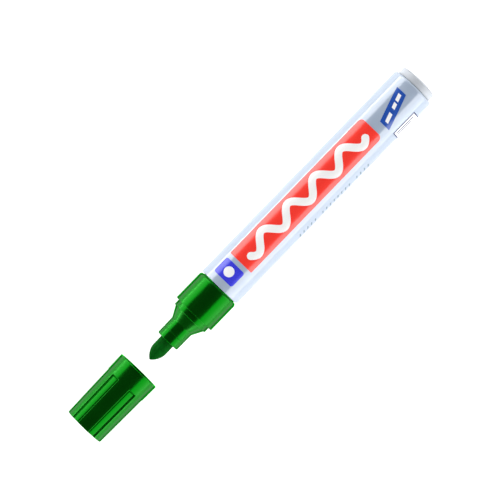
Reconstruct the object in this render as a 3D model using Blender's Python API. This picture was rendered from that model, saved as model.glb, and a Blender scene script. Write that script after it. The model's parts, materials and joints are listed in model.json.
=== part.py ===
"""Whiteboard marker lying on its side, with its cap pulled off and lying in line ahead of the nib.

The marker's axis runs along X: the tail points to +X, the nib and the cap to -X.
The origin is at the middle of the whole length, on the surface that the marker lies on.
Lengths below are in millimetres, and MM turns them into Blender's metres.
Along the axis, every station is measured from the seat, the shoulder that the cap stops against.
"""

import math

import bmesh
import bpy
from mathutils import Euler, Matrix, Vector

MM = 0.001
SEGMENTS = 36  # flats around every round piece
FLAT_SHARE = math.cos(math.pi / SEGMENTS)  # a flat's distance from the axis, over its corners' radius

# Clearances
PRESS_GAP = 0.3  # between pieces that are pressed together
NIB_GAP = 0.25  # around the nib, in its bore and in the reservoir
WRAP_GAP = 0.2  # between the reservoir's fibre core and its film
CAP_GAP = 0.15  # around the snap ring, inside the cap
BEAD_GAP = 0.05  # between the cap's snap bead and the snap ring
SEAL_GAP = 0.17  # around the nose tube, inside the cap's liner
SEAT_GAP = 0.1  # between the cap's mouth and the seat, when the cap is on

# Barrel
BARREL_RADIUS = 8.2
BARREL_LENGTH = 95.5
BARREL_WALL = 1.0
BARREL_RIM = 0.25  # rounding of the front edge
BARREL_SHOULDER = 1.15  # rounding of the rear edge
NECK_WALL = 1.9  # around the opening that the end plug is pressed into
NECK_LENGTH = 4.0
RIB_COUNT = 6  # ribs that centre the reservoir and leave room for air
RIB_THICKNESS = 0.9

# End plug
PLUG_STEP = 1.2  # how much lower than the barrel the head stands
PLUG_HEAD_LENGTH = 3.1
PLUG_DOME_WIDTH = 2.8  # rim around the flat middle of the end
PLUG_DOME = 0.4
PLUG_EDGE = 0.8
PLUG_SPIGOT_LENGTH = 7.0
PLUG_WALL = 1.0
PLUG_RIB = 0.8
PLUG_END_WALL = 1.2

# Front section: grip, snap ring, cone and nose tube in one moulding
GRIP_STEP = 0.04  # how much lower than the barrel the grip stands
GRIP_LENGTH = 12.6
GRIP_REAR_EDGE = 0.8
GRIP_FRONT_EDGE = 0.12
SPIGOT_LENGTH = 9.0
SPIGOT_WALL = 0.7
SPIGOT_LEAD_IN = 0.6
CAVITY_FLOOR = 1.4  # ledge that the reservoir stands on, behind the seat
LEDGE_WIDTH = 1.2
RING_LENGTH = 2.1
RING_EDGE = 0.25
CONE_LENGTH = 3.8
CONE_STEP = 0.5  # from the ring down to the cone's rear
NOSE_LENGTH = 7.1
NOSE_TAPER = 0.1
NOSE_WALL = 1.41
NOSE_EDGE = 0.35
GROOVE_FROM_FRONT = 3.25
GROOVE_WIDTH = 0.35
GROOVE_DEPTH = 0.12
VENT_COUNT = 4
VENT_WIDTH = 1.0
VENT_DEPTH = 0.5

# Nib and reservoir
NIB_OUT = 8.8  # how far the nib stands out of the nose
NIB_POINT = 5.0  # length of the rounded point
NIB_SHARPNESS = 1.7  # 1 makes the point a half ellipse, and more makes it more pointed
NIB_IN_RESERVOIR = 8.0
NIB_REAR_TAPER = 2.0
NIB_REAR_STEP = 0.9
FILM_WALL = 0.3

# Cap
CAP_RIM_WALL = 0.95
CAP_WALL = 1.28
CAP_END_WALL = 1.4
CAP_TAPER = 0.53  # from the mouth's radius to the closed end's
CAP_MOUTH_EDGE = 0.15
CAP_END_EDGE = 0.35
SOCKET_ROOM = 1.4  # straight bore in front of the snap ring, when the cap is on
SOCKET_STEP = 0.4
BEAD_SETBACK = 0.8  # behind the snap ring's front edge, when the cap is on
BEAD_WIDTH = 0.8
POCKET_LENGTH = 4.0  # holds the liner's closed end
FLUTE_COUNT = 6
FLUTE_ANGLE = math.radians(21.5)
FLUTE_TURN = math.radians(1.5)  # how the cap lies turned
FLUTE_START = 6.5
FLUTE_DEPTH = 0.45
LINER_ROOM = 0.8  # between the liner and the cap's bore
LINER_WALL = 0.87
LINER_BASE = 0.8
LINER_RIM_EDGE = 0.3
LINER_RIM_SETBACK = 0.8  # in front of the cone, when the cap is on
NOSE_END_ROOM = 1.8  # in front of the nose tube, inside the liner
NIB_SIDE_ROOM = 0.95  # around the nib, inside the liner
NIB_END_ROOM = 2.6  # in front of the nib's tip, inside the liner
CAP_OFF_GAP = 5.3  # from the nib's tip to the mouth of the cap that lies off

# Radii, from the outside in
BARREL_BORE = BARREL_RADIUS - BARREL_WALL
SPIGOT_RADIUS = BARREL_BORE - PRESS_GAP
CAVITY_RADIUS = SPIGOT_RADIUS - SPIGOT_WALL
LEDGE_RADIUS = CAVITY_RADIUS - LEDGE_WIDTH
FILM_RADIUS = CAVITY_RADIUS - PRESS_GAP
CORE_RADIUS = FILM_RADIUS - FILM_WALL - WRAP_GAP
NECK_RADIUS = BARREL_RADIUS - NECK_WALL
PLUG_HEAD_RADIUS = BARREL_RADIUS - PLUG_STEP
PLUG_FLAT_RADIUS = PLUG_HEAD_RADIUS - PLUG_DOME_WIDTH
PLUG_SPIGOT_RADIUS = NECK_RADIUS - PRESS_GAP
GRIP_RADIUS = BARREL_RADIUS - GRIP_STEP
CAP_MOUTH_RADIUS = GRIP_RADIUS
CAP_END_RADIUS = CAP_MOUTH_RADIUS - CAP_TAPER
CAP_SOCKET_RADIUS = CAP_MOUTH_RADIUS - CAP_RIM_WALL
CAP_BORE_FRONT_RADIUS = CAP_SOCKET_RADIUS - SOCKET_STEP
CAP_BORE_END_RADIUS = CAP_END_RADIUS - CAP_WALL
LINER_RADIUS = CAP_BORE_END_RADIUS - LINER_ROOM
LINER_BORE = LINER_RADIUS - LINER_WALL
RING_RADIUS = CAP_SOCKET_RADIUS - CAP_GAP
CONE_REAR_RADIUS = RING_RADIUS - CONE_STEP
NOSE_REAR_RADIUS = LINER_BORE - SEAL_GAP
NOSE_FRONT_RADIUS = NOSE_REAR_RADIUS - NOSE_TAPER
NIB_BORE = NOSE_FRONT_RADIUS - NOSE_WALL
NIB_RADIUS = NIB_BORE - NIB_GAP
NIB_REAR_RADIUS = NIB_RADIUS - NIB_REAR_STEP
LINER_NIB_RADIUS = NIB_RADIUS + NIB_SIDE_ROOM

# Stations along the axis, from the seat
BARREL_FRONT = GRIP_LENGTH
BARREL_REAR = BARREL_FRONT + BARREL_LENGTH
TAIL = BARREL_REAR + PLUG_HEAD_LENGTH
PLUG_INNER_END = BARREL_REAR - PLUG_SPIGOT_LENGTH
RESERVOIR_FRONT = CAVITY_FLOOR + PRESS_GAP
RESERVOIR_REAR = PLUG_INNER_END - PRESS_GAP
NIB_REAR = RESERVOIR_FRONT + NIB_IN_RESERVOIR
RING_FRONT = -RING_LENGTH
CONE_FRONT = RING_FRONT - CONE_LENGTH
NOSE_FRONT = CONE_FRONT - NOSE_LENGTH
NIB_TIP = NOSE_FRONT - NIB_OUT
CAP_MOUTH = NIB_TIP - CAP_OFF_GAP

# Depths inside the cap, from its mouth, where the closed cap's mouth is SEAT_GAP in front of the seat
SOCKET_DEPTH = RING_LENGTH - SEAT_GAP + SOCKET_ROOM
BEAD_DEPTH = RING_LENGTH - SEAT_GAP - BEAD_SETBACK
LINER_RIM_DEPTH = -CONE_FRONT - SEAT_GAP + LINER_RIM_SETBACK
LINER_STEP_DEPTH = -NOSE_FRONT - SEAT_GAP + NOSE_END_ROOM
LINER_FLOOR_DEPTH = -NIB_TIP - SEAT_GAP + NIB_END_ROOM
LINER_END_DEPTH = LINER_FLOOR_DEPTH + LINER_BASE
CAP_FLOOR_DEPTH = LINER_END_DEPTH + PRESS_GAP
CAP_LENGTH = CAP_FLOOR_DEPTH + CAP_END_WALL
CAP_END = CAP_MOUTH - CAP_LENGTH

SEAT_X = -(TAIL + CAP_END) / 2  # puts the origin in the middle of the whole length
AXIS_HEIGHT = BARREL_RADIUS * FLAT_SHARE  # the barrel lies on one of its flats

# Material: colour, roughness, metallic
MATERIALS = {
    "barrel_white": ((0.86, 0.89, 0.93), 0.28, 0.0),
    "cap_green": ((0.004, 0.30, 0.02), 0.25, 0.0),
    "liner_natural": ((0.70, 0.74, 0.70), 0.45, 0.0),
    "nib_felt": ((0.002, 0.07, 0.012), 0.95, 0.0),
    "fibre_core": ((0.004, 0.11, 0.02), 0.95, 0.0),
    "film_clear": ((0.82, 0.86, 0.86), 0.35, 0.0),
}


def clear_scene():
    for obj in list(bpy.data.objects):
        bpy.data.objects.remove(obj, do_unlink=True)


def material(name):
    if name in bpy.data.materials:
        return bpy.data.materials[name]
    colour, roughness, metallic = MATERIALS[name]
    made = bpy.data.materials.new(name)
    made.use_nodes = True
    shader = made.node_tree.nodes["Principled BSDF"]
    shader.inputs["Base Color"].default_value = (*colour, 1.0)
    shader.inputs["Roughness"].default_value = roughness
    shader.inputs["Metallic"].default_value = metallic
    return made


def arc(centre, radius, start, end, steps):
    """Points (x, r) on an arc, from angle start to angle end in degrees, where 0 is +x and 90 is +r."""
    points = []
    for step in range(steps + 1):
        angle = math.radians(start + (end - start) * step / steps)
        points.append((centre[0] + radius * math.cos(angle), centre[1] + radius * math.sin(angle)))
    return points


def add_object(name, mesh, parent, slot):
    for polygon in mesh.polygons:
        polygon.use_smooth = True
    mesh.set_sharp_from_angle(angle=math.radians(30))
    obj = bpy.data.objects.new(name, mesh)
    bpy.context.scene.collection.objects.link(obj)
    obj.parent = parent
    if slot:
        mesh.materials.append(material(slot))
    return obj


def turned_mesh(name, outline):
    """A mesh turned about X from the (x, r) points of its half section, in millimetres.

    An outline that starts and ends on the axis makes a solid end, and any other is closed into a ring.
    """
    form = bmesh.new()
    rows = [form.verts.new((x * MM, 0.0, r * MM)) for x, r in outline]
    pairs = list(zip(rows, rows[1:]))
    if outline[0][1] > 0:
        pairs.append((rows[-1], rows[0]))
    edges = [form.edges.new(pair) for pair in pairs]
    half_flat = Matrix.Rotation(math.pi / SEGMENTS, 3, "X")
    bmesh.ops.rotate(form, verts=rows, cent=(0, 0, 0), matrix=half_flat)
    bmesh.ops.spin(
        form,
        geom=rows + edges,
        cent=(0, 0, 0),
        axis=(1, 0, 0),
        angle=math.tau,
        steps=SEGMENTS,
        use_merge=True,
    )
    bmesh.ops.remove_doubles(form, verts=form.verts, dist=0.001 * MM)
    bmesh.ops.recalc_face_normals(form, faces=form.faces)
    mesh = bpy.data.meshes.new(name)
    form.to_mesh(mesh)
    form.free()
    return mesh


def turned(name, outline, parent, slot):
    return add_object(name, turned_mesh(name, outline), parent, slot)


def box_into(form, low, high, turn):
    """Adds a box between two corners in millimetres, turned about X."""
    size = Vector(high) - Vector(low)
    centre = (Vector(high) + Vector(low)) / 2
    place = Euler((turn, 0, 0)).to_matrix().to_4x4() @ Matrix.Translation(centre * MM)
    bmesh.ops.create_cube(form, size=1.0, matrix=place @ Matrix.Diagonal((*(size * MM), 1.0)))


def sector_into(form, stations, half_angle, turn):
    """Adds a solid sector about X, through stations of (x, inner radius, outer radius). Turn 0 is +Z."""
    steps = 4
    angles = [turn - half_angle + 2 * half_angle * step / steps for step in range(steps + 1)]
    sections = []
    for x, inner, outer in stations:
        ring = [(inner, angle) for angle in angles] + [(outer, angle) for angle in reversed(angles)]
        points = [(x, r * math.sin(angle), r * math.cos(angle)) for r, angle in ring]
        sections.append([form.verts.new(Vector(point) * MM) for point in points])
    first, last = sections[0], sections[-1]
    form.faces.new(first)
    form.faces.new(last)
    for near, far in zip(sections, sections[1:]):
        for index in range(len(near)):
            other = (index + 1) % len(near)
            form.faces.new((near[index], near[other], far[other], far[index]))


def tool(name, form, parent):
    """A Boolean's second shape, which isn't part of the object."""
    bmesh.ops.recalc_face_normals(form, faces=form.faces)
    mesh = bpy.data.meshes.new(name)
    form.to_mesh(mesh)
    form.free()
    obj = add_object(name, mesh, parent, None)
    obj.hide_render = True
    obj.display_type = "WIRE"
    return obj


def combine(obj, other, operation):
    modifier = obj.modifiers.new(other.name, "BOOLEAN")
    modifier.object = other
    modifier.operation = operation
    modifier.solver = "EXACT"


def barrel(parent):
    """White tube with a rounded rear shoulder, a neck for the end plug and ribs along its bore."""
    rim, shoulder = BARREL_RIM, BARREL_SHOULDER
    outline = [
        *arc((BARREL_FRONT + rim, BARREL_RADIUS - rim), rim, 180, 90, 3),
        *arc((BARREL_REAR - shoulder, BARREL_RADIUS - shoulder), shoulder, 90, 0, 6),
        (BARREL_REAR, NECK_RADIUS),
        (BARREL_REAR - NECK_LENGTH, NECK_RADIUS),
        (BARREL_REAR - NECK_LENGTH, BARREL_BORE),
        (BARREL_FRONT, BARREL_BORE),
    ]
    tube = turned("barrel", outline, parent, "barrel_white")
    ribs = bmesh.new()
    front = BARREL_FRONT + SPIGOT_LENGTH + PRESS_GAP
    rear = BARREL_REAR - NECK_LENGTH / 2
    wall_middle = BARREL_BORE + BARREL_WALL / 2
    rib_top = max(FILM_RADIUS, PLUG_SPIGOT_RADIUS) + PRESS_GAP
    for index in range(RIB_COUNT):
        low = (front, -RIB_THICKNESS / 2, rib_top)
        high = (rear, RIB_THICKNESS / 2, wall_middle)
        box_into(ribs, low, high, math.tau * index / RIB_COUNT)
    combine(tube, tool("barrel_ribs", ribs, parent), "UNION")
    return tube


def end_plug(parent):
    """Tail plug: a head that shows, and a hollow spigot with crossed webs to keep the reservoir in."""
    under_head = BARREL_REAR + PRESS_GAP
    outline = [
        (TAIL, 0.0),
        (TAIL, PLUG_FLAT_RADIUS),
        (TAIL - PLUG_DOME / 4, (PLUG_FLAT_RADIUS + PLUG_HEAD_RADIUS - PLUG_EDGE) / 2),
        *arc((TAIL - PLUG_DOME - PLUG_EDGE, PLUG_HEAD_RADIUS - PLUG_EDGE), PLUG_EDGE, 0, 90, 4),
        (under_head, PLUG_HEAD_RADIUS),
        (under_head, PLUG_SPIGOT_RADIUS),
        (PLUG_INNER_END, PLUG_SPIGOT_RADIUS),
        (PLUG_INNER_END, PLUG_SPIGOT_RADIUS - PLUG_WALL),
        (TAIL - PLUG_END_WALL, PLUG_SPIGOT_RADIUS - PLUG_WALL),
        (TAIL - PLUG_END_WALL, 0.0),
    ]
    plug = turned("end_plug", outline, parent, "barrel_white")
    reach = PLUG_SPIGOT_RADIUS - PLUG_WALL / 2
    low = (PLUG_INNER_END + PLUG_WALL, -PLUG_RIB / 2, -reach)
    high = (TAIL - PLUG_END_WALL / 2, PLUG_RIB / 2, reach)
    for name, turn in (("plug_web_upright", 0.0), ("plug_web_level", math.pi / 2)):
        web = bmesh.new()
        box_into(web, low, high, turn)
        combine(plug, tool(name, web, parent), "UNION")
    return plug


def nose_radius(x):
    share = (CONE_FRONT - x) / NOSE_LENGTH
    return NOSE_REAR_RADIUS + (NOSE_FRONT_RADIUS - NOSE_REAR_RADIUS) * share


def front_section(parent):
    """Green moulding: spigot in the barrel, grip, snap ring, cone, and the nose tube for the nib."""
    grip_rear = BARREL_FRONT - PRESS_GAP
    spigot_rear = BARREL_FRONT + SPIGOT_LENGTH
    groove = NOSE_FRONT + GROOVE_FROM_FRONT
    bore_mouth = NOSE_FRONT + NOSE_EDGE
    outline = [
        (spigot_rear, CAVITY_RADIUS),
        (spigot_rear, SPIGOT_RADIUS - SPIGOT_LEAD_IN / 2),
        (spigot_rear - SPIGOT_LEAD_IN, SPIGOT_RADIUS),
        (grip_rear, SPIGOT_RADIUS),
        *arc((grip_rear - GRIP_REAR_EDGE, GRIP_RADIUS - GRIP_REAR_EDGE), GRIP_REAR_EDGE, 0, 90, 4),
        (GRIP_FRONT_EDGE, GRIP_RADIUS),
        (0.0, GRIP_RADIUS - GRIP_FRONT_EDGE),
        (0.0, RING_RADIUS),
        (RING_FRONT + RING_EDGE, RING_RADIUS),
        (RING_FRONT, RING_RADIUS - RING_EDGE),
        (RING_FRONT, CONE_REAR_RADIUS),
        (CONE_FRONT, NOSE_REAR_RADIUS),
        (groove + GROOVE_WIDTH / 2, nose_radius(groove)),
        (groove, nose_radius(groove) - GROOVE_DEPTH),
        (groove - GROOVE_WIDTH / 2, nose_radius(groove)),
        *arc((bore_mouth, NOSE_FRONT_RADIUS - NOSE_EDGE), NOSE_EDGE, 90, 180, 3),
        (NOSE_FRONT, NIB_BORE),
        (CONE_FRONT, NIB_BORE),
        (RING_FRONT, LEDGE_RADIUS),
        (CAVITY_FLOOR, LEDGE_RADIUS),
        (CAVITY_FLOOR, CAVITY_RADIUS),
    ]
    nose = turned("front_section", outline, parent, "cap_green")
    vents = bmesh.new()
    for index in range(VENT_COUNT):
        low = (NOSE_FRONT - NOSE_EDGE, -VENT_WIDTH / 2, NIB_BORE - VENT_DEPTH)
        high = (CONE_FRONT + CONE_LENGTH / 2, VENT_WIDTH / 2, NIB_BORE + VENT_DEPTH)
        box_into(vents, low, high, math.tau * (index + 0.5) / VENT_COUNT)
    combine(nose, tool("nose_vents", vents, parent), "DIFFERENCE")
    return nose


def nib(parent):
    """Bullet nib: a fibre rod with a rounded point, which reaches back into the reservoir."""
    point_steps = 9
    outline = [(NIB_TIP, 0.0)]
    for step in range(1, point_steps + 1):
        angle = math.pi / 2 * step / point_steps
        x = NIB_TIP + NIB_POINT * (1 - math.cos(angle))
        outline.append((x, NIB_RADIUS * math.sin(angle) ** NIB_SHARPNESS))
    outline += [
        (NIB_REAR - NIB_REAR_TAPER, NIB_RADIUS),
        (NIB_REAR, NIB_REAR_RADIUS),
        (NIB_REAR, 0.0),
    ]
    return turned("nib", outline, parent, "nib_felt")


def reservoir_core(parent):
    """Fibre core that holds the ink, with the hollow that the nib pushes into it."""
    hollow_end = NIB_REAR + NIB_GAP
    outline = [
        (hollow_end, 0.0),
        (hollow_end, NIB_REAR_RADIUS + NIB_GAP),
        (NIB_REAR - NIB_REAR_TAPER, NIB_BORE),
        (RESERVOIR_FRONT, NIB_BORE),
        (RESERVOIR_FRONT, CORE_RADIUS),
        (RESERVOIR_REAR, CORE_RADIUS),
        (RESERVOIR_REAR, 0.0),
    ]
    return turned("reservoir_core", outline, parent, "fibre_core")


def reservoir_film(parent):
    """Film wrapped around the fibre core, open at both ends."""
    inner = FILM_RADIUS - FILM_WALL
    outline = [
        (RESERVOIR_FRONT, inner),
        (RESERVOIR_FRONT, FILM_RADIUS),
        (RESERVOIR_REAR, FILM_RADIUS),
        (RESERVOIR_REAR, inner),
    ]
    return turned("reservoir_film", outline, parent, "film_clear")


def cap_radius(depth):
    """The cap's outer radius at a depth from its mouth."""
    return CAP_MOUTH_RADIUS + (CAP_END_RADIUS - CAP_MOUTH_RADIUS) * depth / CAP_LENGTH


def cap_shell(parent):
    """Green cap with long flutes to grip it by: its mouth is at x 0, its closed end at -CAP_LENGTH."""
    pocket = CAP_FLOOR_DEPTH - POCKET_LENGTH
    pocket_radius = LINER_RADIUS + PRESS_GAP
    end_edge = (-CAP_LENGTH + CAP_END_EDGE, CAP_END_RADIUS - CAP_END_EDGE)
    outline = [
        (-CAP_LENGTH, 0.0),
        *arc(end_edge, CAP_END_EDGE, 180, 90, 3),
        (-CAP_MOUTH_EDGE, CAP_MOUTH_RADIUS),
        (0.0, CAP_MOUTH_RADIUS - CAP_MOUTH_EDGE),
        (0.0, CAP_SOCKET_RADIUS + CAP_MOUTH_EDGE),
        (-CAP_MOUTH_EDGE, CAP_SOCKET_RADIUS),
        (-BEAD_DEPTH + BEAD_WIDTH / 2, CAP_SOCKET_RADIUS),
        (-BEAD_DEPTH, RING_RADIUS + BEAD_GAP),
        (-BEAD_DEPTH - BEAD_WIDTH / 2, CAP_SOCKET_RADIUS),
        (-SOCKET_DEPTH, CAP_SOCKET_RADIUS),
        (-SOCKET_DEPTH - SOCKET_STEP, CAP_BORE_FRONT_RADIUS),
        (-pocket, CAP_BORE_END_RADIUS),
        (-pocket, pocket_radius),
        (-CAP_FLOOR_DEPTH, pocket_radius),
        (-CAP_FLOOR_DEPTH, 0.0),
    ]
    shell = turned("cap_shell", outline, parent, "cap_green")
    flutes = bmesh.new()
    past_end = CAP_LENGTH + FLUTE_DEPTH
    clear = CAP_MOUTH_RADIUS + FLUTE_DEPTH
    stations = [
        (-FLUTE_START, cap_radius(FLUTE_START) - FLUTE_DEPTH, clear),
        (-past_end, cap_radius(past_end) - FLUTE_DEPTH, clear),
    ]
    for index in range(FLUTE_COUNT):
        turn = FLUTE_TURN + math.tau * (index + 0.5) / FLUTE_COUNT
        sector_into(flutes, stations, FLUTE_ANGLE / 2, turn)
    combine(shell, tool("cap_flutes", flutes, parent), "DIFFERENCE")
    return shell


def cap_liner(parent):
    """Cup inside the cap that closes around the nose tube, so that the ink can't dry out."""
    edge = LINER_RIM_EDGE
    step = LINER_BORE - LINER_NIB_RADIUS
    outline = [
        (-LINER_END_DEPTH, 0.0),
        (-LINER_END_DEPTH, LINER_RADIUS),
        (-LINER_RIM_DEPTH - edge, LINER_RADIUS),
        (-LINER_RIM_DEPTH, LINER_RADIUS - edge),
        (-LINER_RIM_DEPTH, LINER_BORE + edge),
        (-LINER_RIM_DEPTH - edge, LINER_BORE),
        (-LINER_STEP_DEPTH, LINER_BORE),
        (-LINER_STEP_DEPTH - step, LINER_NIB_RADIUS),
        (-LINER_FLOOR_DEPTH, LINER_NIB_RADIUS),
        (-LINER_FLOOR_DEPTH, 0.0),
    ]
    return turned("cap_liner", outline, parent, "liner_natural")


def axis_empty(name, x):
    """An empty on the marker's axis, x millimetres from the seat, to place pieces by."""
    empty = bpy.data.objects.new(name, None)
    bpy.context.scene.collection.objects.link(empty)
    empty.location = Vector((SEAT_X + x, 0.0, AXIS_HEIGHT)) * MM
    return empty


def build():
    clear_scene()
    marker = axis_empty("marker_axis", 0.0)
    for make in (barrel, end_plug, front_section, nib, reservoir_core, reservoir_film):
        make(marker)
    cap = axis_empty("cap_axis", CAP_MOUTH)
    for make in (cap_shell, cap_liner):
        make(cap)


build()
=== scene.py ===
"""Looks of the whiteboard marker: smooth mouldings, ink prints, felt nib, floor, light and camera.

The marker is worked out in millimetres: x along its axis, from the frame's origin, and r away from
that axis. Turn is the angle around the axis, 0 on top and growing towards -Y. The floor and the lights
are in metres.
"""

import json
import math

import bpy
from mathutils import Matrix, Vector, noise


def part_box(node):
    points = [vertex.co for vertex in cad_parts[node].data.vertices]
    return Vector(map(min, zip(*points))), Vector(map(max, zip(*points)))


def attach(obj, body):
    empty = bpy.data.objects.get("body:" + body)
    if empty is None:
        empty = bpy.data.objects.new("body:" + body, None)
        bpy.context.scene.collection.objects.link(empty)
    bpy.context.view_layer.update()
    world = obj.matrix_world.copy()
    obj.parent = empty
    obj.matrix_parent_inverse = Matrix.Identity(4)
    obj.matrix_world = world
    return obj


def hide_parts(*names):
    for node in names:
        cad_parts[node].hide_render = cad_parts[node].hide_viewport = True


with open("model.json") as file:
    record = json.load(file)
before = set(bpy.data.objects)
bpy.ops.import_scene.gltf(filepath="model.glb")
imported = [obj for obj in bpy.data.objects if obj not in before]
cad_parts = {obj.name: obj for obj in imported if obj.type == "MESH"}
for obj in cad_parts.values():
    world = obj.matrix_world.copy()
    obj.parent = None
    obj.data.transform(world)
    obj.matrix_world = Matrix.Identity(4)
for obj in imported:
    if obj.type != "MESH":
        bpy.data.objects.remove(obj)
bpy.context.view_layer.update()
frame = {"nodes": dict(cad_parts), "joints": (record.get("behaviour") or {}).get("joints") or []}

MM = 0.001
FLATS = 36  # flats around each CAD solid
COLUMNS = 144  # columns around each smooth piece


def node_span(node):
    """(lowest x, highest x, largest radius) of a CAD node, in millimetres."""
    low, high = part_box(node)
    radius = (high.z - low.z) / 2 / math.cos(math.pi / FLATS)
    return low.x / MM, high.x / MM, radius / MM


BARREL_FRONT, BARREL_REAR, BARREL_RADIUS = node_span("barrel")
NOSE_FRONT, SPIGOT_REAR, GRIP_RADIUS = node_span("front_section")
PLUG_FRONT, TAIL, PLUG_RADIUS = node_span("end_plug")
NIB_TIP, NIB_REAR, NIB_RADIUS = node_span("nib")
CAP_END, CAP_MOUTH, CAP_RADIUS = node_span("cap_shell")
LINER_END, LINER_RIM, LINER_RADIUS = node_span("cap_liner")
AXIS_Z = (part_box("barrel")[0].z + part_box("barrel")[1].z) / 2
CAP_TRAVEL = max(joint["range_m"][1] for joint in frame["joints"] if joint["type"] == "slide") / MM
SEAT_GAP = 0.1  # between the closed cap and the shoulder that it stops at
SEAT = CAP_MOUTH + CAP_TRAVEL + SEAT_GAP


# ---------------------------------------------------------------- mesh making

ARC_STEPS = 6  # on each rounded corner
ARC_SUPPORT = 0.15  # from the corner's arc to an extra point on the flat beside it, for clean shading
SHARP_ANGLE = math.radians(38)


def rounded(corners, closed=False):
    """Points (x, r) along corners (x, r, radius), each rounded to its radius."""
    points = []
    last = len(corners) - 1
    for index, (x, r, radius) in enumerate(corners):
        here = Vector((x, r))
        if radius == 0 or (not closed and index in (0, last)):
            points.append(here)
            continue
        before = (Vector(corners[index - 1][:2]) - here).normalized()
        after = (Vector(corners[(index + 1) % len(corners)][:2]) - here).normalized()
        half = before.angle(after) / 2
        reach = radius / math.tan(half)
        centre = here + (before + after).normalized() * (radius / math.sin(half))
        start = here + before * reach - centre
        sweep = start.angle_signed(here + after * reach - centre)
        support = min(radius, ARC_SUPPORT)
        points.append(centre + start + before * support)
        for step in range(ARC_STEPS + 1):
            angle = -sweep * step / ARC_STEPS
            turned_by = Vector((
                start.x * math.cos(angle) - start.y * math.sin(angle),
                start.x * math.sin(angle) + start.y * math.cos(angle),
            ))
            points.append(centre + turned_by)
        points.append(here + after * (reach + support))
    return [(point.x, point.y) for point in points]


def even_turns(count=COLUMNS):
    return [math.tau * column / count for column in range(count)]


def place(x, r, turn):
    """The point at x, r and turn, in metres."""
    return Vector((x * MM, -r * MM * math.sin(turn), r * MM * math.cos(turn) + AXIS_Z))


def mesh_object(name, points, faces, material):
    mesh = bpy.data.meshes.new(name)
    mesh.from_pydata(points, [], faces)
    mesh.validate()
    for polygon in mesh.polygons:
        polygon.use_smooth = True
    mesh.set_sharp_from_angle(angle=SHARP_ANGLE)
    mesh.materials.append(material)
    obj = bpy.data.objects.new(name, mesh)
    bpy.context.scene.collection.objects.link(obj)
    return obj


def turned(name, outline, material, turns=None, shape=None):
    """A piece turned about the axis from the (x, r) points of its half section.

    An outline that starts and ends on the axis is solid, and any other is a ring.
    shape(x, r, turn) gives the radius there, where it isn't round.
    """
    turns = turns or even_turns()
    count = len(turns)
    points, rows = [], []
    for x, r in outline:
        if r == 0:
            rows.append([len(points)] * count)
            points.append(place(x, 0, 0))
            continue
        rows.append(range(len(points), len(points) + count))
        points += [place(x, shape(x, r, turn) if shape else r, turn) for turn in turns]
    pairs = list(zip(rows, rows[1:]))
    if outline[0][1] > 0:
        pairs.append((rows[-1], rows[0]))
    faces = []
    for near, far in pairs:
        for column in range(count):
            other = (column + 1) % count
            corners = (near[column], far[column], far[other], near[other])
            faces.append(tuple(dict.fromkeys(corners)))
    return mesh_object(name, points, faces, material)


def add_boxes(piece, boxes):
    """Joins boxes to a piece: each runs between two x, across two radii, with a thickness, at a turn."""
    for index, (x_low, x_high, r_low, r_high, thickness, turn) in enumerate(boxes):
        points = []
        for x in (x_low, x_high):
            for r, side in ((r_low, -1), (r_low, 1), (r_high, 1), (r_high, -1)):
                point = place(x, r, turn)
                across = Vector((0, -math.cos(turn), -math.sin(turn)))
                points.append(point + across * (side * thickness / 2 * MM))
        faces = [(0, 1, 2, 3), (7, 6, 5, 4), (0, 4, 5, 1), (1, 5, 6, 2), (2, 6, 7, 3), (3, 7, 4, 0)]
        box = mesh_object(f"{piece.name}_box_{index}", points, faces, piece.data.materials[0])
        joint = piece.modifiers.new(box.name, "BOOLEAN")
        joint.operation = "UNION"
        joint.solver = "EXACT"
        joint.object = box
        graph = bpy.context.evaluated_depsgraph_get()
        joined = bpy.data.meshes.new_from_object(piece.evaluated_get(graph))
        piece.modifiers.clear()
        piece.data = joined
        bpy.data.objects.remove(box, do_unlink=True)


# ---------------------------------------------------------------- materials

# features per millimetre, octaves of detail and, for drawn-out noises, the share of features along the axis
CLOUDS = (0.16, 2)
SCUFFS = (1.6, 5, 0.12)
GRAIN = (7.0, 2)
INK_MOTTLE = (3.0, 4)
INK_LAY = (2.2, 3, 0.1)
INK_GRAIN = (12.0, 2)
FELT_PORES = (9.0, 3)
FELT_OCTAVES = 6
FELT_ALONG = 0.22
FLOOR_TONE = (0.01, 2)

GRAIN_HEIGHT = 0.004
INK_GRAIN_HEIGHT = 0.003
FELT_HEIGHT = 0.08
INK_ROUGHNESS = (0.16, 0.26)
FELT_ROUGHNESS = (0.55, 0.9)
FELT_GLOSS = 0.03
FELT_BLOOM = 0.12
FELT_BLOOM_TINT = (0.08, 1, 0.16)
BLOOM_ROUGHNESS = 0.42

# where a surface's gloss starts to rise, peaks and ends, between 0 head on and 1 edge on
SHINE_RISE, SHINE_PEAK, SHINE_EDGE = 0.25, 0.42, 0.60


def new_material(name):
    material = bpy.data.materials.new(name)
    material.use_nodes = True
    nodes = material.node_tree.nodes
    return material, nodes, material.node_tree.links, nodes["Principled BSDF"]


def noise_node(nodes, links, scale, detail, along=1):
    """Noise over the object's own coordinates, drawn out along the axis where along is under 1."""
    coordinates = nodes.new("ShaderNodeTexCoord")
    mapping = nodes.new("ShaderNodeMapping")
    mapping.inputs["Scale"].default_value = (along / MM, 1 / MM, 1 / MM)
    links.new(coordinates.outputs["Object"], mapping.inputs["Vector"])
    texture = nodes.new("ShaderNodeTexNoise")
    texture.inputs["Scale"].default_value = scale
    texture.inputs["Detail"].default_value = detail
    links.new(mapping.outputs["Vector"], texture.inputs["Vector"])
    return texture.outputs["Fac"]


def remap(nodes, links, value, low, high, to_low, to_high):
    node = nodes.new("ShaderNodeMapRange")
    node.inputs["From Min"].default_value = low
    node.inputs["From Max"].default_value = high
    node.inputs["To Min"].default_value = to_low
    node.inputs["To Max"].default_value = to_high
    links.new(value, node.inputs["Value"])
    return node.outputs["Result"]


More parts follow.
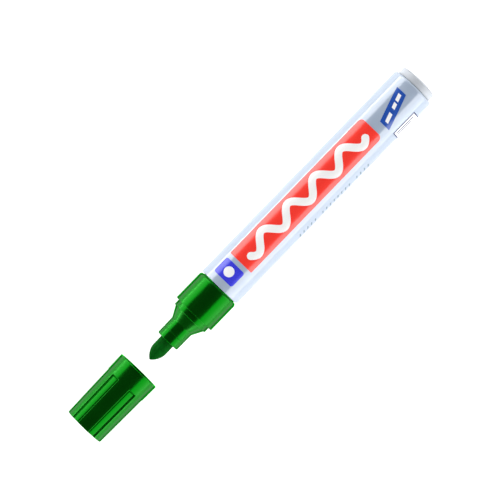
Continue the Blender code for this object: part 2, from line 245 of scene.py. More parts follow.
def blend_colours(nodes, links, factor, first, second):
    node = nodes.new("ShaderNodeMix")
    node.data_type = "RGBA"
    node.inputs["A"].default_value = (*first, 1)
    node.inputs["B"].default_value = (*second, 1)
    links.new(factor, node.inputs["Factor"])
    return node.outputs["Result"]


def shine_over_angle(nodes, links, shader, head_on, peak, edge_on):
    """Gloss of a surface: head on, where it turns away, and edge on."""
    if head_on == peak == edge_on:
        shader.inputs["Specular IOR Level"].default_value = peak
        return
    weight = nodes.new("ShaderNodeLayerWeight")
    weight.inputs["Blend"].default_value = 0.5
    facing = weight.outputs["Facing"]
    lower = nodes.new("ShaderNodeMath")
    lower.operation = "MINIMUM"
    links.new(remap(nodes, links, facing, SHINE_RISE, SHINE_PEAK, head_on, peak), lower.inputs[0])
    links.new(remap(nodes, links, facing, SHINE_PEAK, SHINE_EDGE, peak, edge_on), lower.inputs[1])
    links.new(lower.outputs[0], shader.inputs["Specular IOR Level"])


def bump(nodes, links, shader, height, distance):
    node = nodes.new("ShaderNodeBump")
    node.inputs["Strength"].default_value = 1.0
    node.inputs["Distance"].default_value = distance * MM
    links.new(height, node.inputs["Height"])
    links.new(node.outputs["Normal"], shader.inputs["Normal"])


def plastic(name, colour, shade, rough, shine=(0.5, 0.5, 0.5), index=1.5, tint=(1, 1, 1), bloom=0.0):
    """Moulded plastic: faint flow clouds, lengthwise handling scuffs and a very fine moulded grain."""
    material, nodes, links, shader = new_material(name)
    clouds = remap(nodes, links, noise_node(nodes, links, *CLOUDS), 0.35, 0.65, 0, 1)
    links.new(blend_colours(nodes, links, clouds, colour, shade), shader.inputs["Base Color"])
    scuffs = noise_node(nodes, links, *SCUFFS)
    links.new(remap(nodes, links, scuffs, 0.4, 0.7, *rough), shader.inputs["Roughness"])
    shine_over_angle(nodes, links, shader, *shine)
    shader.inputs["IOR"].default_value = index
    shader.inputs["Specular Tint"].default_value = (*tint, 1)
    shader.inputs["Sheen Weight"].default_value = bloom
    shader.inputs["Sheen Tint"].default_value = (*tint, 1)
    shader.inputs["Sheen Roughness"].default_value = BLOOM_ROUGHNESS
    bump(nodes, links, shader, noise_node(nodes, links, *GRAIN), GRAIN_HEIGHT)
    return material


def ink(name, colour, shade, shine=(0.7, 0.7, 0.5)):
    """Printed ink: a little mottled, with the faint lay of the print roller along the barrel."""
    material, nodes, links, shader = new_material(name)
    mottle = remap(nodes, links, noise_node(nodes, links, *INK_MOTTLE), 0.42, 0.62, 0, 1)
    links.new(blend_colours(nodes, links, mottle, colour, shade), shader.inputs["Base Color"])
    lay = noise_node(nodes, links, *INK_LAY)
    links.new(remap(nodes, links, lay, 0.35, 0.65, *INK_ROUGHNESS), shader.inputs["Roughness"])
    shine_over_angle(nodes, links, shader, *shine)
    bump(nodes, links, shader, noise_node(nodes, links, *INK_GRAIN), INK_GRAIN_HEIGHT)
    return material


def felt(name, colour, shade, fibres):
    """Ink-soaked felt: fine fibres along the axis, so many per millimetre, broken by pores, with painted
    shade that makes it darker where its bump is low.
    """
    material, nodes, links, shader = new_material(name)
    strands = noise_node(nodes, links, fibres, FELT_OCTAVES, FELT_ALONG)
    pores = noise_node(nodes, links, *FELT_PORES)
    mix = nodes.new("ShaderNodeMath")
    mix.operation = "MULTIPLY"
    links.new(strands, mix.inputs[0])
    links.new(pores, mix.inputs[1])
    # painted shade: this mask follows the bump's height, so the pores and the gaps between strands take the
    # darker colour
    painted_shade_by_height = remap(nodes, links, mix.outputs[0], 0.15, 0.38, 0, 1)
    links.new(blend_colours(nodes, links, painted_shade_by_height, shade, colour), shader.inputs["Base Color"])
    links.new(remap(nodes, links, pores, 0.3, 0.7, *FELT_ROUGHNESS), shader.inputs["Roughness"])
    shader.inputs["Specular IOR Level"].default_value = FELT_GLOSS
    shader.inputs["Sheen Weight"].default_value = FELT_BLOOM
    shader.inputs["Sheen Tint"].default_value = (*FELT_BLOOM_TINT, 1)
    bump(nodes, links, shader, mix.outputs[0], FELT_HEIGHT)
    return material


WHITE = plastic(
    "white_polypropylene", (0.38, 0.45, 0.56), (0.36, 0.43, 0.54),
    rough=(0.10, 0.18), shine=(0.6, 1.2, 0.8), index=1.75,
)
PLUG_WHITE = plastic(
    "plug_polypropylene", (0.52, 0.545, 0.58), (0.495, 0.52, 0.555),
    rough=(0.14, 0.24), shine=(0.7, 0.1, 0.0), index=1.6,
)
GREEN = plastic(
    "green_polypropylene", (0.0007, 0.016, 0.001), (0.0006, 0.013, 0.0008),
    rough=(0.19, 0.26), shine=(0.84, 1.7, 0.0), index=1.6, tint=(0.002, 1.0, 0.02), bloom=1.0,
)
NATURAL = plastic("natural_polyethylene", (0.62, 0.66, 0.62), (0.55, 0.60, 0.56), rough=(0.35, 0.5))
FELT = felt("ink_soaked_felt", (0.001, 0.11, 0.006), (0.0003, 0.05, 0.002), fibres=2.4)
FIBRE = felt("reservoir_fibre", (0.01, 0.16, 0.03), (0.002, 0.06, 0.01), fibres=3.5)
FILM = plastic("wrap_film", (0.72, 0.76, 0.76), (0.66, 0.71, 0.71), rough=(0.2, 0.4))
RED_INK = ink("red_ink", (0.95, 0.045, 0.030), (0.92, 0.038, 0.024))
BLUE_INK = ink("blue_ink", (0.020, 0.085, 0.42), (0.016, 0.07, 0.36))
VIOLET_INK = ink("violet_blue_ink", (0.045, 0.05, 0.72), (0.04, 0.04, 0.62))
WHITE_INK = ink("white_ink", (0.95, 0.94, 0.93), (0.92, 0.91, 0.90))
SLATE_INK = ink("slate_ink", (0.03, 0.035, 0.12), (0.02, 0.025, 0.09), shine=(0.3, 0.1, 0.0))
GREY_INK = ink("grey_ink", (0.16, 0.21, 0.24), (0.12, 0.17, 0.20), shine=(0.4, 0.2, 0.0))


def finish_piece(piece, body, slot, *nodes):
    """Puts a piece on its body and hides the CAD nodes that it stands for; its slot is not used."""
    if nodes:
        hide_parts(*nodes)
    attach(piece, body)


# ---------------------------------------------------------------- barrel and tail

BARREL_WALL = 1.0
NECK_RADIUS = 6.3
NECK_LENGTH = 4.0
PLUG_SPIGOT_RADIUS = 6.0
PLUG_WALL = 1.0
PLUG_END_WALL = 1.2
PLUG_DOME = 0.4
PLUG_DOME_START = 0.62  # as a share of the plug's radius
PLUG_WEB = 0.8
PLUG_SEAM = 0.08  # between the plug's head and the barrel
RIB_COUNT = 6
RIB_TOP = 6.3
RIB_THICKNESS = 0.9
RIB_GAP = 0.3  # to the front section's spigot
GATE_RADIUS = 0.9  # the dimple where the plastic flowed in
GATE_SLOPE = 0.15
PLUG_GATE_DEPTH = 0.12
CAP_GATE_DEPTH = 0.15


def make_barrel():
    bore = BARREL_RADIUS - BARREL_WALL
    outline = rounded([
        (BARREL_FRONT, BARREL_RADIUS, 0.22),
        (BARREL_REAR, BARREL_RADIUS, 1.15),
        (BARREL_REAR, NECK_RADIUS, 0.12),
        (BARREL_REAR - NECK_LENGTH, NECK_RADIUS, 0.1),
        (BARREL_REAR - NECK_LENGTH, bore, 0.1),
        (BARREL_FRONT, bore, 0.1),
    ], closed=True)
    tube = turned("barrel_tube", outline, WHITE)
    rib_front, rib_rear = SPIGOT_REAR + RIB_GAP, BARREL_REAR - NECK_LENGTH / 2
    rib = (rib_front, rib_rear, RIB_TOP, bore + BARREL_WALL / 2, RIB_THICKNESS)
    add_boxes(tube, [(*rib, math.tau * index / RIB_COUNT) for index in range(RIB_COUNT)])
    finish_piece(tube, "marker", "barrel_white", "barrel")


def make_end_plug():
    under_head = BARREL_REAR + PLUG_SEAM
    inner = PLUG_SPIGOT_RADIUS - PLUG_WALL
    outline = rounded([
        (TAIL - PLUG_GATE_DEPTH, 0, 0),
        (TAIL - PLUG_GATE_DEPTH, GATE_RADIUS - GATE_SLOPE, 0.05),
        (TAIL, GATE_RADIUS, 0.05),
        (TAIL, PLUG_RADIUS * PLUG_DOME_START, 1.2),
        (TAIL - PLUG_DOME, PLUG_RADIUS, 0.75),
        (under_head, PLUG_RADIUS, 0.12),
        (under_head, PLUG_SPIGOT_RADIUS, 0.05),
        (PLUG_FRONT, PLUG_SPIGOT_RADIUS, 0.3),
        (PLUG_FRONT, inner, 0.1),
        (TAIL - PLUG_END_WALL, inner, 0.3),
        (TAIL - PLUG_END_WALL, 0, 0),
    ])
    plug = turned("tail_plug", outline, PLUG_WHITE)
    reach = PLUG_SPIGOT_RADIUS - PLUG_WALL / 2
    web = (PLUG_FRONT + PLUG_WALL, TAIL - PLUG_END_WALL / 2, -reach, reach, PLUG_WEB)
    add_boxes(plug, [(*web, 0), (*web, math.pi / 2)])
    finish_piece(plug, "marker", "barrel_white", "end_plug")


# ---------------------------------------------------------------- grip, cone and nose

RING_RADIUS = 7.06
RING_LENGTH = 2.1
CONE_LENGTH = 3.8
CONE_REAR_RADIUS = 6.56
NOSE_REAR_RADIUS = 4.51
NOSE_FRONT_RADIUS = 4.41
GROOVE_FROM_FRONT = 3.25  # the parting groove around the nose
GROOVE_DEPTH = 0.14
GROOVE_WIDTH = 0.34
NIB_BORE = 3.0
LEDGE_RADIUS = 5.0
CAVITY_RADIUS = 6.2
CAVITY_FLOOR = 1.4
SPIGOT_RADIUS = 6.9
GRIP_SEAM = 0.34  # between the grip and the barrel
GRIP_REAR = BARREL_FRONT - GRIP_SEAM
GRIP_COLUMNS = 288
VENT_COUNT = 4
VENT_HALF_ANGLE = math.radians(9.5)
VENT_SLOPE = math.radians(1.5)
VENT_DEPTH = 0.5
VENT_REACH = 0.2  # how far from the bore's radius a point still belongs to the bore


def vent_mask(turn):
    """1 inside a vent groove of the nose bore, 0 outside, with short slopes between."""
    pitch = math.tau / VENT_COUNT
    off = abs((turn + pitch) % pitch - pitch / 2)
    return min(1, max(0, (VENT_HALF_ANGLE - off) / VENT_SLOPE + 0.5))


def nose_shape(x, r, turn):
    if abs(r - NIB_BORE) < VENT_REACH:
        return r + VENT_DEPTH * vent_mask(turn)
    return r


def nose_radius(x):
    share = (SEAT - RING_LENGTH - CONE_LENGTH - x) / (SEAT - RING_LENGTH - CONE_LENGTH - NOSE_FRONT)
    return NOSE_REAR_RADIUS + (NOSE_FRONT_RADIUS - NOSE_REAR_RADIUS) * share


def make_front_section():
    cone_rear = SEAT - RING_LENGTH
    cone_front = cone_rear - CONE_LENGTH
    parting = NOSE_FRONT + GROOVE_FROM_FRONT
    outline = rounded([
        (SPIGOT_REAR, CAVITY_RADIUS, 0.1),
        (SPIGOT_REAR, SPIGOT_RADIUS, 0.3),
        (GRIP_REAR, SPIGOT_RADIUS, 0.05),
        (GRIP_REAR, GRIP_RADIUS, 1.05),
        (SEAT, GRIP_RADIUS, 0.14),
        (SEAT, RING_RADIUS, 0.08),
        (cone_rear, RING_RADIUS, 0.28),
        (cone_rear, CONE_REAR_RADIUS, 0.08),
        (cone_front, NOSE_REAR_RADIUS, 0.35),
        (parting + GROOVE_WIDTH / 2, nose_radius(parting), 0.05),
        (parting, nose_radius(parting) - GROOVE_DEPTH, 0.08),
        (parting - GROOVE_WIDTH / 2, nose_radius(parting), 0.05),
        (NOSE_FRONT, NOSE_FRONT_RADIUS, 0.35),
        (NOSE_FRONT, NIB_BORE, 0.08),
        (cone_front, NIB_BORE, 0.1),
        (cone_rear, LEDGE_RADIUS, 0.2),
        (SEAT + CAVITY_FLOOR, LEDGE_RADIUS, 0.05),
        (SEAT + CAVITY_FLOOR, CAVITY_RADIUS, 0.1),
    ], closed=True)
    piece = turned("grip_and_nose", outline, GREEN, even_turns(GRIP_COLUMNS), nose_shape)
    finish_piece(piece, "marker", "cap_green", "front_section")


# ---------------------------------------------------------------- nib

NIB_POINT = 5.0  # length of the rounded point
NIB_POINT_STEPS = 22
NIB_SHARPNESS = 1.7
NIB_STEP = 0.4  # between the rings behind the point
NIB_TAPER_LENGTH = 2.0  # at the rear end
NIB_TAPER = 0.9
NIB_COLUMNS = 120
NIB_ROUGHNESS = 0.035
NIB_BUNDLES_ALONG = 0.35
NIB_BUNDLES_ACROSS = 2.2
NIB_SMOOTH_RADIUS = 0.8  # towards the very tip the bundles fade out from here


def nib_shape(x, r, turn):
    """Fibre bundles along the nib, and a slightly worn point."""
    across = r * NIB_BUNDLES_ACROSS
    near = Vector((x * NIB_BUNDLES_ALONG, math.sin(turn) * across, math.cos(turn) * across))
    return r + NIB_ROUGHNESS * noise.fractal(near, 1.0, 2.0, 3) * min(1, r / NIB_SMOOTH_RADIUS)


def make_nib():
    outline = [(NIB_TIP, 0)]
    for step in range(1, NIB_POINT_STEPS + 1):
        angle = math.pi / 2 * step / NIB_POINT_STEPS
        x = NIB_TIP + NIB_POINT * (1 - math.cos(angle))
        outline.append((x, NIB_RADIUS * math.sin(angle) ** NIB_SHARPNESS))
    x = NIB_TIP + NIB_POINT + NIB_STEP
    while x < NIB_REAR - NIB_TAPER_LENGTH:
        outline.append((x, NIB_RADIUS))
        x += NIB_STEP
    outline += [
        (NIB_REAR - NIB_TAPER_LENGTH, NIB_RADIUS),
        (NIB_REAR, NIB_RADIUS - NIB_TAPER),
        (NIB_REAR, 0),
    ]
    piece = turned("felt_nib", outline, FELT, even_turns(NIB_COLUMNS), nib_shape)
    finish_piece(piece, "marker", "nib_felt", "nib")


# ---------------------------------------------------------------- cap

CAP_END_RADIUS = 7.63
CAP_SOCKET_RADIUS = 7.21
CAP_SOCKET_DEPTH = 3.4
CAP_BEAD_DEPTH = 1.2
CAP_BEAD_RADIUS = 7.11
CAP_BORE_FRONT_RADIUS = 6.81
CAP_BORE_END_RADIUS = 6.35
CAP_BEAD_SLOPE = 0.4  # along the axis, on both sides of the bead and where the bore starts
CAP_FLOOR_DEPTH = 25.4
CAP_SKIN = 0.2  # a point farther out than the socket by this is on the outside
CAP_FACE = 0.9  # and so is one this close to the closed end
CAP_FACE_PLAIN = 2.0  # radius of the closed end's middle, which the flutes don't reach
POCKET_LENGTH = 4.0
LINER_GAP = 0.3
POCKET_RADIUS = LINER_RADIUS + LINER_GAP
FLUTE_COUNT = 6
FLUTE_HALF = math.radians(10.75)
FLUTE_TURN = math.radians(-1.5)
FLUTE_START = 6.5  # from the mouth
FLUTE_DEPTH = 0.45
FLUTE_SLOPE = 0.46  # width of each flute's side
FLUTE_GROOVE = 0.16  # depth of the fine groove where the floor meets the side
FLUTE_GROOVE_HALF = 0.45  # half its width, as a share of the side's
LAND_STEPS = 8  # columns between two flutes


def smooth(value):
    value = min(1, max(0, value))
    return value * value * (3 - 2 * value)


def groove(share):
    """1 in the middle of the fine groove, 0 outside it."""
    off = min(1, abs(share - 1) / FLUTE_GROOVE_HALF)
    return (1 + math.cos(math.pi * off)) / 2


def flute_depth(x, turn):
    """How deep a flute is there: a floor with smooth sides, and a fine groove along its edge."""
    pitch = math.tau / FLUTE_COUNT
    off = abs((turn - FLUTE_TURN) % pitch - pitch / 2)
    across = (FLUTE_HALF - off) * CAP_END_RADIUS / FLUTE_SLOPE + 0.5
    along = (CAP_MOUTH - FLUTE_START - x) / FLUTE_SLOPE
    edge = max(groove(across) * smooth(along), groove(along) * smooth(across))
    return FLUTE_DEPTH * smooth(across) * smooth(along) + FLUTE_GROOVE * edge


def cap_shape(x, r, turn):
    outside = r > CAP_SOCKET_RADIUS + CAP_SKIN or x < CAP_END + CAP_FACE
    if not outside or r < CAP_FACE_PLAIN:
        return r
    return r - flute_depth(x, turn) * min(1, r / CAP_END_RADIUS)


def cap_turns():
    """Columns around the cap, close together on the sides of each flute."""
    side = FLUTE_SLOPE / CAP_END_RADIUS
    pitch = math.tau / FLUTE_COUNT
    floor = [(FLUTE_HALF - side * 1.2) * share for share in (-1, -0.66, -0.33, 0, 0.33, 0.66, 1)]
    edge = [FLUTE_HALF + side * (step / 10) for step in range(-10, 6)]
    land_from = FLUTE_HALF + side * 0.8
    land = [land_from + (pitch - 2 * land_from) * step / LAND_STEPS for step in range(LAND_STEPS + 1)]
    offsets = sorted({*floor, *edge, *(-angle for angle in edge), *land})
    turns = []
    for index in range(FLUTE_COUNT):
        centre = FLUTE_TURN + pitch * (index + 0.5)
        turns += [centre + offset for offset in offsets]
    return turns


def cap_outline():
    """The cap's half section, with close rows where the flutes run out."""
    bead = CAP_MOUTH - CAP_BEAD_DEPTH
    socket = CAP_MOUTH - CAP_SOCKET_DEPTH
    floor = CAP_MOUTH - CAP_FLOOR_DEPTH
    section = rounded([
        (CAP_END + CAP_GATE_DEPTH, 0, 0),
        (CAP_END + CAP_GATE_DEPTH, GATE_RADIUS - GATE_SLOPE, 0.05),
        (CAP_END, GATE_RADIUS, 0.05),
        (CAP_END, CAP_END_RADIUS, 0.28),
        (CAP_MOUTH, CAP_RADIUS, 0.16),
        (CAP_MOUTH, CAP_SOCKET_RADIUS, 0.2),
        (bead + CAP_BEAD_SLOPE, CAP_SOCKET_RADIUS, 0),
        (bead, CAP_BEAD_RADIUS, 0.1),
        (bead - CAP_BEAD_SLOPE, CAP_SOCKET_RADIUS, 0),
        (socket, CAP_SOCKET_RADIUS, 0.1),
        (socket - CAP_BEAD_SLOPE, CAP_BORE_FRONT_RADIUS, 0.1),
        (floor + POCKET_LENGTH, CAP_BORE_END_RADIUS, 0.1),
        (floor + POCKET_LENGTH, POCKET_RADIUS, 0.1),
        (floor, POCKET_RADIUS, 0.2),
        (floor, 0, 0),
    ])
    taper = (CAP_RADIUS - CAP_END_RADIUS) / (CAP_MOUTH - CAP_END)
    rows = [CAP_MOUTH - FLUTE_START - FLUTE_SLOPE * step / 10 for step in range(16, -5, -1)]
    run_out = [(x, CAP_RADIUS - (CAP_MOUTH - x) * taper) for x in rows]
    past_end = next(index for index, (x, r) in enumerate(section) if x > CAP_END + 1)
    return section[:past_end] + run_out + section[past_end:]


def make_cap():
    piece = turned("fluted_cap", cap_outline(), GREEN, cap_turns(), cap_shape)
    finish_piece(piece, "cap", "cap_green", "cap_shell")


LINER_BORE = 4.68
LINER_STEP = 8.1  # from the rim to where the bore narrows around the nib
LINER_STEP_SLOPE = 0.9
LINER_NIB_RADIUS = 3.7
LINER_BASE = 0.8


def make_liner():
    outline = rounded([
        (LINER_END, 0, 0),
        (LINER_END, LINER_RADIUS, 0.25),
        (LINER_RIM, LINER_RADIUS, 0.3),
        (LINER_RIM, LINER_BORE, 0.3),
        (LINER_RIM - LINER_STEP, LINER_BORE, 0.3),
        (LINER_RIM - LINER_STEP - LINER_STEP_SLOPE, LINER_NIB_RADIUS, 0.3),
        (LINER_END + LINER_BASE, LINER_NIB_RADIUS, 0.5),
        (LINER_END + LINER_BASE, 0, 0),
    ])
    finish_piece(turned("liner_cup", outline, NATURAL), "liner", "liner_natural", "cap_liner")


# ---------------------------------------------------------------- prints on the barrel

INK_HEIGHT = 0.02  # of each layer of ink
INK_STEP = math.radians(2.0)
CORNER_STEPS = 8
DISC_STEPS = 24


def print_sheets(name, sheets, ink_material, layer):
    """Ink on the barrel: each sheet is rows of spots (x, turn) that follow each other along it."""
    top = BARREL_RADIUS + INK_HEIGHT * layer
    under = BARREL_RADIUS - INK_HEIGHT
    points, faces = [], []
    for spots in sheets:
        first = len(points)
        columns = len(spots[0]) - 1
        for x, turn in (spot for row in spots for spot in row):
            points += [place(x, top, turn), place(x, under, turn)]
        width = 2 * (columns + 1)
        rows = len(spots)
        for row in range(rows - 1):
            start = first + row * width
            for column in range(columns):
                a = start + 2 * column
                b, c, d = a + 2, a + width + 2, a + width
                faces += [(a, d, c, b), (a + 1, b + 1, c + 1, d + 1)]
            for a, flip in ((start, False), (start + 2 * columns, True)):
                side = (a, a + 1, a + width + 1, a + width)
                faces.append(tuple(reversed(side)) if flip else side)
        for row, flip in ((0, True), (rows - 1, False)):
            for column in range(columns):
                a = first + row * width + 2 * column
                side = (a, a + 1, a + 3, a + 2)
                faces.append(tuple(reversed(side)) if flip else side)
    finish_piece(mesh_object(name, points, faces, ink_material), "marker", "barrel_white")


def print_patch(name, stations, span, ink_material, layer=1):
    """Ink over the turns from span(x)[0] to span(x)[1] at each x of stations."""
    columns = max(2, math.ceil(max(span(x)[1] - span(x)[0] for x in stations) / INK_STEP))
    spots = []
    for x in stations:
        low, high = span(x)
        spots.append([(x, low + (high - low) * column / columns) for column in range(columns + 1)])
    print_sheets(name, [spots], ink_material, layer)


def print_stroke(name, path, half_width, ink_material, layer):
    """Ink along a path of (x, distance around the barrel), as wide as a pen stroke, with round ends."""
    columns = max(2, math.ceil(2 * half_width / BARREL_RADIUS / INK_STEP))
    run = [0]
    for here, ahead in zip(path, path[1:]):
        run.append(run[-1] + (ahead - here).length)
    spots = []
    for index, here in enumerate(path):
        along = (path[min(index + 1, len(path) - 1)] - path[max(index - 1, 0)]).normalized()
        across = Vector((-along.y, along.x))
        to_end = min(run[index], run[-1] - run[index], half_width) / half_width
        half = half_width * math.sqrt(max(0.01, 1 - (1 - to_end) ** 2))
        row = [here + across * (half * (2 * column / columns - 1)) for column in range(columns + 1)]
        spots.append([(spot.x, spot.y / BARREL_RADIUS) for spot in row])
    print_sheets(name, [spots], ink_material, layer)


def on_barrel(x):
    return BARREL_FRONT + x


def stations_between(start, end, step=0.5):
    count = max(1, math.ceil((end - start) / step))
    return [start + (end - start) * index / count for index in range(count + 1)]


def rounded_span(start, end, middle, half, front_radius, rear_radius):
    """The stations and span(x) of a panel with rounded corners."""
    def span(x):
        trim = 0
        for edge, radius in ((x - start, front_radius), (end - x, rear_radius)):
            if edge < radius:
                trim = radius - math.sqrt(max(0, radius ** 2 - (radius - edge) ** 2))
        reach = half - trim / BARREL_RADIUS
        return middle - reach, middle + reach

    stations = stations_between(start + front_radius, end - rear_radius, 1.0)
    for radius, edge, inwards in ((front_radius, start, 1), (rear_radius, end, -1)):
        for step in range(CORNER_STEPS + 1):
            angle = math.pi / 2 * step / CORNER_STEPS
            stations.append(edge + inwards * radius * (1 - math.cos(angle)))
    return sorted({round(x, 4) for x in stations}), span


def disc_span(centre, middle, radius):
    """The stations and span(x) of a round dot."""
    def span(x):
        reach = math.sqrt(max(1e-6, radius ** 2 - (x - centre) ** 2)) / BARREL_RADIUS
        return middle - reach, middle + reach

    angles = [math.pi * step / DISC_STEPS for step in range(DISC_STEPS + 1)]
    return [centre - radius * math.cos(angle) for angle in angles], span


# the prints' ends along the barrel, from its front, and their turns and sizes
PANEL = (11.1, 75.2)
PANEL_MIDDLE = math.radians(-5.4)
PANEL_HALF = math.radians(37.4)
PANEL_FRONT_CORNER = 0.35
PANEL_REAR_CORNER = 1.8
WAVE_AMPLITUDE = 2.5
WAVE_COUNT = 4.5
WAVE_HALF_WIDTH = 1.35
WAVE_MARGIN = 3.2  # from the panel's ends
WAVE_STEP = 0.15
BADGE = (2.9, 9.4)
BADGE_MIDDLE = math.radians(-9.5)
BADGE_HALF = math.radians(31)
BADGE_CORNER = 0.9
BADGE_DOT = 1.9
TAG = (78.6, 91.2)
TAG_FRONT = (math.radians(-0.2), math.radians(31.7))
TAG_REAR = (math.radians(-29.8), math.radians(0.7))
TAG_BARS = ((1.3, 4.6), (6.2, 8.2), (8.9, 11.4))  # from the tag's front
TAG_BAR_SHARES = (0.36, 0.66)  # of the tag's width
LABEL = (78.9, 89.2)
LABEL_TURNS = (math.radians(48), math.radians(104))
LABEL_BORDER = 0.36
LABEL_LINES = (math.radians(56), math.radians(63.5), math.radians(80))
LABEL_LINE_WIDTH = 1.3  # as a multiple of the border's
LABEL_LINE_START = 1.2  # from the label's front
LABEL_LINE_ENDS = (1.4, 3.0, 1.4)  # from its rear
SMALL_PRINT_START = 32.0
SMALL_PRINT_TURNS = (math.radians(61), math.radians(66.5), math.radians(72))
SMALL_PRINT_PITCH = 1.85
SMALL_PRINT_WORDS = (5, 8, 4)  # strokes in each word
SMALL_PRINT_STROKE = 0.5
SMALL_PRINT_SLANT = 0.5


def make_panel():
    start, end = on_barrel(PANEL[0]), on_barrel(PANEL[1])
    corners = (PANEL_FRONT_CORNER, PANEL_REAR_CORNER)
    stations, span = rounded_span(start, end, PANEL_MIDDLE, PANEL_HALF, *corners)
    print_patch("print_panel", stations, span, RED_INK)


def make_wave():
    """A plain written stroke along the panel."""
    start, end = on_barrel(PANEL[0] + WAVE_MARGIN), on_barrel(PANEL[1] - WAVE_MARGIN)
    middle = PANEL_MIDDLE * BARREL_RADIUS
    path = []
    for x in stations_between(start, end, WAVE_STEP):
        phase = math.tau * WAVE_COUNT * (x - start) / (end - start)
        path.append(Vector((x, middle + WAVE_AMPLITUDE * math.sin(phase))))
    print_stroke("print_wave", path, WAVE_HALF_WIDTH, WHITE_INK, layer=2)


def make_badge():
    start, end = on_barrel(BADGE[0]), on_barrel(BADGE[1])
    stations, span = rounded_span(start, end, BADGE_MIDDLE, BADGE_HALF, BADGE_CORNER, BADGE_CORNER)
    print_patch("print_badge", stations, span, VIOLET_INK)
    stations, span = disc_span((start + end) / 2, BADGE_MIDDLE, BADGE_DOT)
    print_patch("print_badge_dot", stations, span, WHITE_INK, layer=2)


def tag_span(low_share, high_share):
    """span(x) of a band along the slanting tag, between two shares of its width."""
    def span(x):
        share = (x - on_barrel(TAG[0])) / (TAG[1] - TAG[0])
        low = TAG_FRONT[0] + (TAG_REAR[0] - TAG_FRONT[0]) * share
        high = TAG_FRONT[1] + (TAG_REAR[1] - TAG_FRONT[1]) * share
        return low + (high - low) * low_share, low + (high - low) * high_share

    return span


def make_tag():
    stations = stations_between(on_barrel(TAG[0]), on_barrel(TAG[1]))
    print_patch("print_tag", stations, tag_span(0, 1), BLUE_INK)
    span = tag_span(*TAG_BAR_SHARES)
    for index, (start, end) in enumerate(TAG_BARS):
        stations = stations_between(on_barrel(TAG[0] + start), on_barrel(TAG[0] + end))
        print_patch(f"print_tag_bar_{index + 1}", stations, span, WHITE_INK, layer=2)


def make_label():
    """A white box with a dark border and dark lines in it."""
    low, high = LABEL_TURNS
    start, end = on_barrel(LABEL[0]), on_barrel(LABEL[1])
    across = LABEL_BORDER / BARREL_RADIUS
    inner_start, inner_end = start + LABEL_BORDER, end - LABEL_BORDER
    strips = {
        "front": (start, inner_start, low, high),
        "rear": (inner_end, end, low, high),
        "near": (inner_start, inner_end, low, low + across),
        "far": (inner_start, inner_end, high - across, high),
    }
    for index, (turn, from_end) in enumerate(zip(LABEL_LINES, LABEL_LINE_ENDS)):
        line = (start + LABEL_LINE_START, end - from_end, turn, turn + LABEL_LINE_WIDTH * across)
        strips[f"line_{index + 1}"] = line
    print_patch("print_label", stations_between(start, end), lambda x: (low, high), WHITE_INK)
    for strip, (front, rear, *turns) in strips.items():
        stations = stations_between(front, rear)
        print_patch(f"print_label_{strip}", stations, lambda x, turns=turns: turns, SLATE_INK, layer=2)


def make_small_print():
    """A row of short slanting strokes beside the panel, in words."""
    low, middle, high = SMALL_PRINT_TURNS
    sheets = []
    x = on_barrel(SMALL_PRINT_START)
    for strokes in SMALL_PRINT_WORDS:
        for _ in range(strokes):
            edges = (x, x + SMALL_PRINT_STROKE)
            sheets.append([
                [(edge, low), (edge - SMALL_PRINT_SLANT / 2, middle), (edge - SMALL_PRINT_SLANT, high)]
                for edge in edges
            ])
            x += SMALL_PRINT_PITCH
        x += SMALL_PRINT_PITCH
    print_sheets("print_small_row", sheets, GREY_INK, layer=1)


# ---------------------------------------------------------------- all pieces


def dress_node(node, material):
    """Gives a CAD node that stays its material."""
    mesh = frame["nodes"][node].data
    mesh.materials.clear()
    mesh.materials.append(material)


def make_pieces():
    for make in (make_barrel, make_end_plug, make_front_section, make_nib, make_cap, make_liner):
        make()
    for make in (make_panel, make_wave, make_badge, make_tag, make_label, make_small_print):
        make()
    dress_node("reservoir_core", FIBRE)
    dress_node("reservoir_film", FILM)


# ---------------------------------------------------------------- stage, light and camera

FRAME_WIDTH = 171.2  # what the camera sees across, at the axis, in millimetres
CAMERA_HEIGHT = 1200  # millimetres above the axis
CAMERA_AIM = (0.4, 1.36)
CAMERA_TURN = math.radians(-45.91)
SENSOR_WIDTH = 36
FLOOR_SIZE = 12.0  # metres
FLOOR_TONES = ((0.46, 0.46, 0.46), (0.42, 0.42, 0.42))
FLOOR_GLOW = 0.9
STRIP_DISTANCE = 0.9  # metres from the axis
STRIP_LENGTH = 2.25  # metres
STRIPS = (  # name, lowest and highest point above the horizon in degrees, side, radiance
    ("softbox_left", 5, 38.5, 1, 3.65),
    ("softbox_right", 5, 50, -1, 3.4),
    ("glow_left", 0.5, 4.5, 1, 9.0),
    ("glow_right", 0.5, 4.0, -1, 4.5),
)
SKY_LOW = (0.85, 0.87, 0.90)
SKY_HIGH = (0.06, 0.065, 0.07)
SKY_DARK_FROM = 0.5  # height in a sky of radius 1


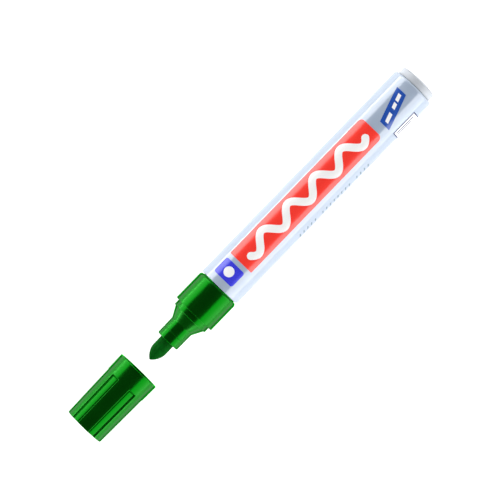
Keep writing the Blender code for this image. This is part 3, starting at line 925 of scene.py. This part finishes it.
def make_floor():
    z = AXIS_Z - BARREL_RADIUS * MM
    half = FLOOR_SIZE / 2
    corners = [(-half, -half, z), (half, -half, z), (half, half, z), (-half, half, z)]
    material, nodes, links, shader = new_material("floor_white")
    tone = noise_node(nodes, links, *FLOOR_TONE)
    links.new(blend_colours(nodes, links, tone, *FLOOR_TONES), shader.inputs["Base Color"])
    shader.inputs["Roughness"].default_value = 0.9
    shader.inputs["Specular IOR Level"].default_value = 0.1
    shader.inputs["Emission Color"].default_value = (1, 1, 1, 1)
    shader.inputs["Emission Strength"].default_value = FLOOR_GLOW
    floor = mesh_object("floor", corners, [(0, 1, 2, 3)], material)


def strip(name, low, high, side, radiance):
    """A long upright softbox on one side, between two heights above the horizon."""
    bottom = STRIP_DISTANCE * math.tan(math.radians(low))
    top = STRIP_DISTANCE * math.tan(math.radians(high))
    light = bpy.data.lights.new(name, "AREA")
    light.shape = "RECTANGLE"
    light.size = STRIP_LENGTH
    light.size_y = top - bottom
    light.energy = radiance * math.pi * STRIP_LENGTH * (top - bottom)
    obj = bpy.data.objects.new(name, light)
    obj.location = (0, side * STRIP_DISTANCE, AXIS_Z + (bottom + top) / 2)
    obj.rotation_euler = (math.radians(90) * -side, 0, 0)
    obj.visible_camera = False
    bpy.context.scene.collection.objects.link(obj)


def make_lights():
    for softbox in STRIPS:
        strip(*softbox)
    make_sky()


def make_sky():
    """Pale at the horizon and dark overhead, where the mouldings' dark middle comes from."""
    world = bpy.data.worlds.new("studio")
    world.use_nodes = True
    nodes, links = world.node_tree.nodes, world.node_tree.links
    direction = nodes.new("ShaderNodeTexCoord")
    split = nodes.new("ShaderNodeSeparateXYZ")
    links.new(direction.outputs["Generated"], split.inputs["Vector"])
    height = remap(nodes, links, split.outputs["Z"], 0, SKY_DARK_FROM, 0, 1)
    sky = blend_colours(nodes, links, height, SKY_LOW, SKY_HIGH)
    links.new(sky, nodes["Background"].inputs["Color"])
    bpy.context.scene.world = world


def make_camera():
    data = bpy.data.cameras.new("camera")
    data.sensor_width = SENSOR_WIDTH
    data.lens = SENSOR_WIDTH * CAMERA_HEIGHT / FRAME_WIDTH
    camera = bpy.data.objects.new("camera", data)
    camera.location = (CAMERA_AIM[0] * MM, CAMERA_AIM[1] * MM, AXIS_Z + CAMERA_HEIGHT * MM)
    camera.rotation_euler = (0, 0, CAMERA_TURN)
    bpy.context.scene.collection.objects.link(camera)
    bpy.context.scene.camera = camera


make_pieces()
make_floor()
make_lights()
make_camera()
bpy.context.scene.view_settings.view_transform = "Standard"
